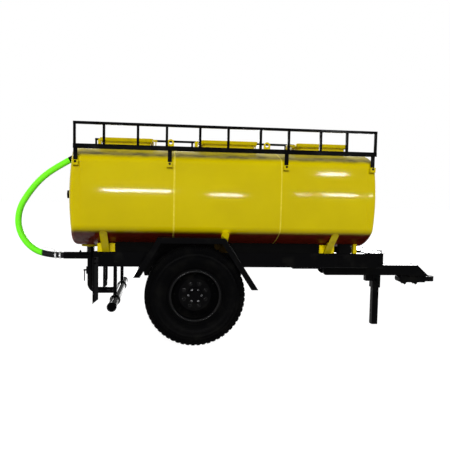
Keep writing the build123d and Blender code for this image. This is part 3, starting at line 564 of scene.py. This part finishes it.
for name, x, half in HATCHES:
    seal = Piece()
    inner, outer = half - 0.026, half - 0.006
    for end in (-1, 1):
        near, far = sorted((end * inner, end * outer))
        seal.block(at(x - inner, near, LID_SEAT - 0.002), at(x + inner, far, LID_SEAT))
        seal.block(at(x + near, -inner, LID_SEAT - 0.002), at(x + far, inner, LID_SEAT))
    seal.done("hatch_seal_" + name, "trailer", "black_rubber")
    latch = Piece()
    front = x + half
    bolt_x = front + 0.022
    for y in (-0.016, 0.016):
        latch.block(at(front - 0.030, y - 0.004, LID_TOP - 0.006),
                    at(front + 0.038, y + 0.004, LID_TOP + 0.016))
    latch.rod(at(bolt_x, -0.020, LID_TOP + 0.005), at(bolt_x, 0.020, LID_TOP + 0.005), 0.006)
    latch.done("lid_latch_" + name, "lid_" + name, "yellow_paint")
    bolt = Piece()
    bolt.rod(at(bolt_x, 0, TANK_TOP - 0.004), at(bolt_x, 0, LID_TOP + 0.012), 0.006, 12)
    bolt.block(at(bolt_x - 0.010, -0.026, TANK_TOP - 0.006), at(bolt_x + 0.010, 0.026, TANK_TOP + 0.020))
    bolt.done("latch_bolt_" + name, "trailer", "yellow_paint")


# Bolts of the rails, chassis, rear legs, drawbar and springs

rail_bolts = Piece()
for x in RAIL_LEGS_X:
    for y in (-RAIL_Y, RAIL_Y):
        rail_bolts.nut(at(x, y, RAIL_BOLT_Z), (0, y, 0), 0.010, 0.009)
rail_bolts.done("rail_bolts", "trailer", "black_paint")

chassis_bolts = Piece()
for x in (-1.000, -0.420, 0.420, 1.000, 1.640, 2.105):
    for z in (0.785, 0.865):
        for dx in (-0.015, 0.015):
            for y in (-BEAM_Y, BEAM_Y):
                chassis_bolts.nut(at(x + dx, y, z), (0, y, 0), 0.009, 0.008)
for x, z in ((-0.842, 0.775), (-0.818, 0.775), (-1.040, 0.780), (-1.040, 0.830)):
    for y in (-BEAM_Y - 0.008, BEAM_Y + 0.008):
        chassis_bolts.nut(at(x, y, z), (0, y, 0), 0.009, 0.008)
for x in (1.980, 2.125):
    for y in (-0.41, -0.15, 0.15, 0.41):
        chassis_bolts.nut(at(x, y, BEAM_TOP + 0.008), (0, 0, 1), 0.010, 0.009)
for x in (2.600, 2.740):
    for y in (-0.034, 0.034):
        chassis_bolts.nut(at(x, y, TOW_LOW), (0, 0, -1), 0.022, 0.018, 0.010)
for x in (2.640, 2.740, 2.830):
    for y in (-0.088, 0.088):
        chassis_bolts.nut(at(x, y, NOSE_LOW), (0, 0, -1), 0.011, 0.010, 0.008)
chassis_bolts.done("chassis_bolts", "trailer", "black_paint")

spring_nuts = Piece()
for end in (-1, 1):
    for x in (-0.059, 0.059):
        for y in (0.354, 0.446):
            spring_nuts.nut(at(x, end * y, 0.445), (0, 0, -1), 0.014, 0.014, 0.016)
    for x in (-0.5, 0.5):
        for y, way in ((0.3545, -1), (0.4455, 1)):
            spring_nuts.nut(at(x, end * y, 0.674), (0, end * way, 0), 0.016, 0.014, 0.008)
spring_nuts.done("spring_nuts", "trailer", "black_paint")

# Small loops on the front plate, and the jack's pin with its ring

loops = Piece()
for x, y in ((2.030, -0.40), (2.118, -0.40)):
    path = [at(x + 0.018 * cos(turn), y, BEAM_TOP + 0.020 + 0.020 * sin(turn))
            for turn in [pi * k / 10 for k in range(11)]]
    path = [at(x + 0.018, y, BEAM_TOP + 0.004), *path, at(x - 0.018, y, BEAM_TOP + 0.004)]
    loops.tube(path, 0.004)
loops.done("plate_loops", "trailer", "zinc")

pin = Piece()
pin.rod(at(JACK_PIN_X, -0.085, JACK_PIN_Z), at(JACK_PIN_X, 0.085, JACK_PIN_Z), 0.011)
for y in (-0.085, 0.085):
    pin.rod(at(JACK_PIN_X, y - 0.004, JACK_PIN_Z), at(JACK_PIN_X, y + 0.004, JACK_PIN_Z), 0.016)
pin.tube([at(JACK_PIN_X + 0.026 * sin(turn), -0.092, JACK_PIN_Z - 0.025 + 0.026 * cos(turn))
          for turn in [2 * pi * k / 18 for k in range(18)]], 0.0035)
pin.done("jack_pin", "trailer", "black_paint")

# Plumbing: hose clamp screws, a plug on the tee, loose wire ends, sprinkler caps and nozzles

screws = Piece()
for distance in (0.039, 0.089):
    x = TAIL_END_X - distance
    screws.block(at(x - 0.010, -0.012, TEE_Z + 0.036), at(x + 0.010, 0.012, TEE_Z + 0.050))
    screws.rod(at(x, -0.026, TEE_Z + 0.045), at(x, 0.030, TEE_Z + 0.045), 0.005)
    screws.nut(at(x, -0.026, TEE_Z + 0.045), (0, -1, 0), 0.007, 0.007)
screws.done("clamp_screws", "trailer", "zinc")
plug = Piece()
plug.nut(at(-1.262, 0, TEE_Z + 0.038), (0, 0, 1), 0.012, 0.016, 0.008)
plug.done("tee_plug", "trailer", "black_paint")
wires = Piece()
wires.tube([at(-1.540, -0.010, TEE_Z + 0.040), at(-1.548, -0.014, TEE_Z + 0.066),
            at(-1.590, -0.018, TEE_Z + 0.082), at(-1.660, -0.020, TEE_Z + 0.084),
            at(-1.690, -0.022, TEE_Z + 0.078)], 0.0022, 6)
wires.done("clamp_wires", "trailer", "zinc")

CAP_PROFILE = ((0.0, -0.02), (0.0485, -0.02), (0.0485, 0.008), (0.043, 0.014), (0.0, 0.016))
NOZZLE_COUNT = 15
NOZZLE_REACH = 0.72
caps = Piece()
for end in (-1, 1):
    caps.lathe(CAP_PROFILE, at(SPRINKLER_X, end * SPRINKLER_END_Y, SPRINKLER_Z), (0, end, 0), 40)
for index in range(NOZZLE_COUNT):
    y = NOZZLE_REACH * (2 * index / (NOZZLE_COUNT - 1) - 1)
    caps.rod(at(SPRINKLER_X - 0.020, y, SPRINKLER_Z - 0.034),
             at(SPRINKLER_X - 0.030, y, SPRINKLER_Z - 0.051), 0.006, 10)
caps.done("sprinkler_caps", "trailer", "black_paint", dull_black)

# The green hose, in a bow from the tail pipe up to the inlet on the tank

# X and Z of its guide points
HOSE_ROUTE = (
    (TAIL_END_X, TEE_Z), (-1.655, TEE_Z), (-1.845, 0.925), (-1.945, 1.115), (-1.935, 1.325),
    (-1.830, 1.510), (-1.695, 1.675), (-1.540, 1.795), (-1.385, 1.885),
)
line = bpy.data.curves.new("green_hose", "CURVE")
line.dimensions = "3D"
spline = line.splines.new("NURBS")
spline.points.add(len(HOSE_ROUTE) - 1)
for point, (x, z) in zip(spline.points, HOSE_ROUTE):
    point.co = (*at(x, 0, z), 1.0)
spline.order_u = 3
spline.use_endpoint_u = True
spline.resolution_u = 16
line.bevel_depth = 0.035
line.bevel_resolution = 8
line.materials.append(green)
hose = bpy.data.objects.new("green_hose", line)
bpy.context.collection.objects.link(hose)
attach(hose, "trailer")
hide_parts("hose")
tuple(at(-1.445, 0, 0.812))

# Floor, backdrop and light

def shaded(tree, low, high):
    """Puts out the high shader for the camera, reflections and glass, and the low one for other rays."""
    rays = tree.nodes.new("ShaderNodeLightPath")
    camera, glossy, through = (Value(tree, rays.outputs["Is " + kind + " Ray"])
                               for kind in ("Camera", "Glossy", "Transmission"))
    seen = camera.math("MAXIMUM", camera.math("MAXIMUM", camera, glossy), through)
    mixed = seen.node("ShaderNodeMixShader", {0: seen, 1: low(seen), 2: high(seen)})
    output = next(n for n in tree.nodes if n.type in ("OUTPUT_MATERIAL", "OUTPUT_WORLD"))
    tree.links.new(mixed.socket, output.inputs["Surface"])


def pale_floor(value):
    """A floor that is white in the light and a little grey in the shadow."""
    glow = value.node("ShaderNodeEmission", {"Color": colour(1, 1, 1), "Strength": 0.90})
    lit = value.node("ShaderNodeBsdfDiffuse", {"Color": colour(0.26, 0.26, 0.26)})
    return value.node("ShaderNodeAddShader", {0: glow, 1: lit})


def dark_floor(value):
    """A floor that throws almost no light back at the object."""
    return value.node("ShaderNodeBsdfDiffuse", {"Color": colour(0.015, 0.012, 0.01)})


def white_sky(value):
    """The white behind the object."""
    return value.node("ShaderNodeBackground", {"Color": colour(1, 1, 1), "Strength": 1.0})


def faint_sky(value):
    """A trace of light from all sides."""
    return value.node("ShaderNodeBackground", {"Color": colour(1, 1, 1), "Strength": 0.02})


FLOOR_SIZE = 60
floor_mesh = bmesh.new()
bmesh.ops.create_grid(floor_mesh, x_segments=1, y_segments=1, size=FLOOR_SIZE)
floor_data = bpy.data.meshes.new("floor")
floor_mesh.to_mesh(floor_data)
floor_mesh.free()
floor = bpy.data.objects.new("floor", floor_data)
bpy.context.collection.objects.link(floor)
floor_look = bpy.data.materials.new("floor")
floor_look.use_nodes = True
shaded(floor_look.node_tree, dark_floor, pale_floor)
floor_data.materials.append(floor_look)

world = bpy.data.worlds.new("studio")
bpy.context.scene.world = world
world.use_nodes = True
shaded(world.node_tree, faint_sky, white_sky)


def light(name, kind, power, way, place=(0, 0, 0), **settings):
    """A lamp of any kind that shines along a direction."""
    data = bpy.data.lights.new(name, kind)
    data.energy = power
    for key, value in settings.items():
        setattr(data, key, value)
    made = bpy.data.objects.new(name, data)
    made.location = place
    made.rotation_euler = Vector(way).to_track_quat("-Z", "Y").to_euler()
    bpy.context.collection.objects.link(made)
    return made


def card(name, place, target, size, power):
    """A bright rectangle that only shows as a reflection, turned to a target."""
    width, height = size
    made = light(name, "AREA", power, target - place, place, shape="RECTANGLE", size=width, size_y=height)
    made.visible_camera = False
    made.visible_diffuse = False


CARD_Y = -14.0
# name, X, Z, width, height and power of the cards that shine back from the tank's side
CARDS = (
    ("card_rear", -1.31, 1.85, 2.37, 0.26, 430),
    ("card_middle", 1.85, 1.57, 1.15, 0.20, 155),
    ("card_front_high", 5.80, 4.27, 0.95, 0.20, 170),
    ("card_front", 6.00, 1.83, 1.30, 0.20, 190),
    ("card_end", 7.33, 1.85, 0.20, 0.30, 43),
    ("card_small", 4.70, 1.80, 0.50, 0.16, 30),
)
for name, x, z, width, height, power in CARDS:
    card(name, at(x, CARD_Y, z), at(x, 0, z), (width, height), power)
card("yard_left", at(-2.0, 11.0, 2.2), at(-0.8, 0, 0.6), (0.9, 2.4), 110)
card("yard_right", at(2.4, 11.0, 1.4), at(-0.8, 0, 0.6), (0.9, 1.4), 66)
card("yard_front", at(6.6, 11.0, 2.1), at(2.0, 0, 0.9), (3.6, 1.5), 280)
card("ground_glint", at(-0.68, 1.9, 0.24), at(-0.68, 0, 0.4), (0.9, 0.44), 6)
card("bright_sky", at(0.5, 10.0, 4.6), at(0.5, 0, 2.0), (18.0, 2.0), 650)
# name, lamp's X, X and Z that it points at, width in degrees and power of the small spots
SPOTS = (
    ("spot_rear_saddle", -0.928, -0.928, 1.03, 8, 45),
    ("spot_middle_saddle", 0.310, 0.310, 1.13, 4, 90),
    ("spot_front_saddle", 1.479, 1.479, 1.03, 8, 45),
    ("spot_front_stop", 1.805, 1.805, 0.98, 6, 20),
    ("spot_hose", -3.2, -1.97, 1.36, 30, 52),
)
SPOT_Y = -2.6
SPOT_TARGET_Y = -0.45
for name, lamp_x, x, z, width, power in SPOTS:
    place = at(lamp_x, SPOT_Y, z - 0.05)
    spot = light(name, "SPOT", power, at(x, SPOT_TARGET_Y, z) - place, place,
                 spot_size=radians(width), spot_blend=0.7)
    spot.visible_glossy = False
# name, energy, angle in degrees and direction of the soft suns
SUNS = (
    ("front_sun", 2.72, 30, (0.12, 0.93, -0.34)),
    ("back_sun", 1.85, 40, (-0.35, -0.85, -0.40)),
    ("rear_sun", 1.20, 40, (0.93, 0.10, -0.36)),
    ("nose_sun", 1.20, 40, (-0.93, 0.10, -0.36)),
)
for name, energy, angle, way in SUNS:
    sun = light(name, "SUN", energy, way, angle=radians(angle))
    sun.visible_glossy = False

# Camera at the photograph's place

YAW, PITCH, ROLL = radians(6.59), radians(-3.37), radians(1.20)
FOCAL_PIXELS = 521.0
PICTURE_PIXELS = 450
SENSOR = 36.0
ahead = Vector((sin(YAW) * cos(PITCH), cos(YAW) * cos(PITCH), sin(PITCH)))
level = Vector((cos(YAW), -sin(YAW), 0))
upright = level.cross(ahead)
right = level * cos(ROLL) + upright * sin(ROLL)
up = upright * cos(ROLL) - level * sin(ROLL)
camera_data = bpy.data.cameras.new("camera")
camera_data.sensor_width = SENSOR
camera_data.lens = FOCAL_PIXELS / PICTURE_PIXELS * SENSOR
camera = bpy.data.objects.new("camera", camera_data)
turned = Matrix((right, up, -ahead)).transposed().to_4x4()
camera.matrix_world = Matrix.Translation(at(-0.3125, -6.0438, 1.5382)) @ turned
bpy.context.collection.objects.link(camera)
bpy.context.scene.camera = camera
bpy.context.scene.view_settings.view_transform = "Standard"
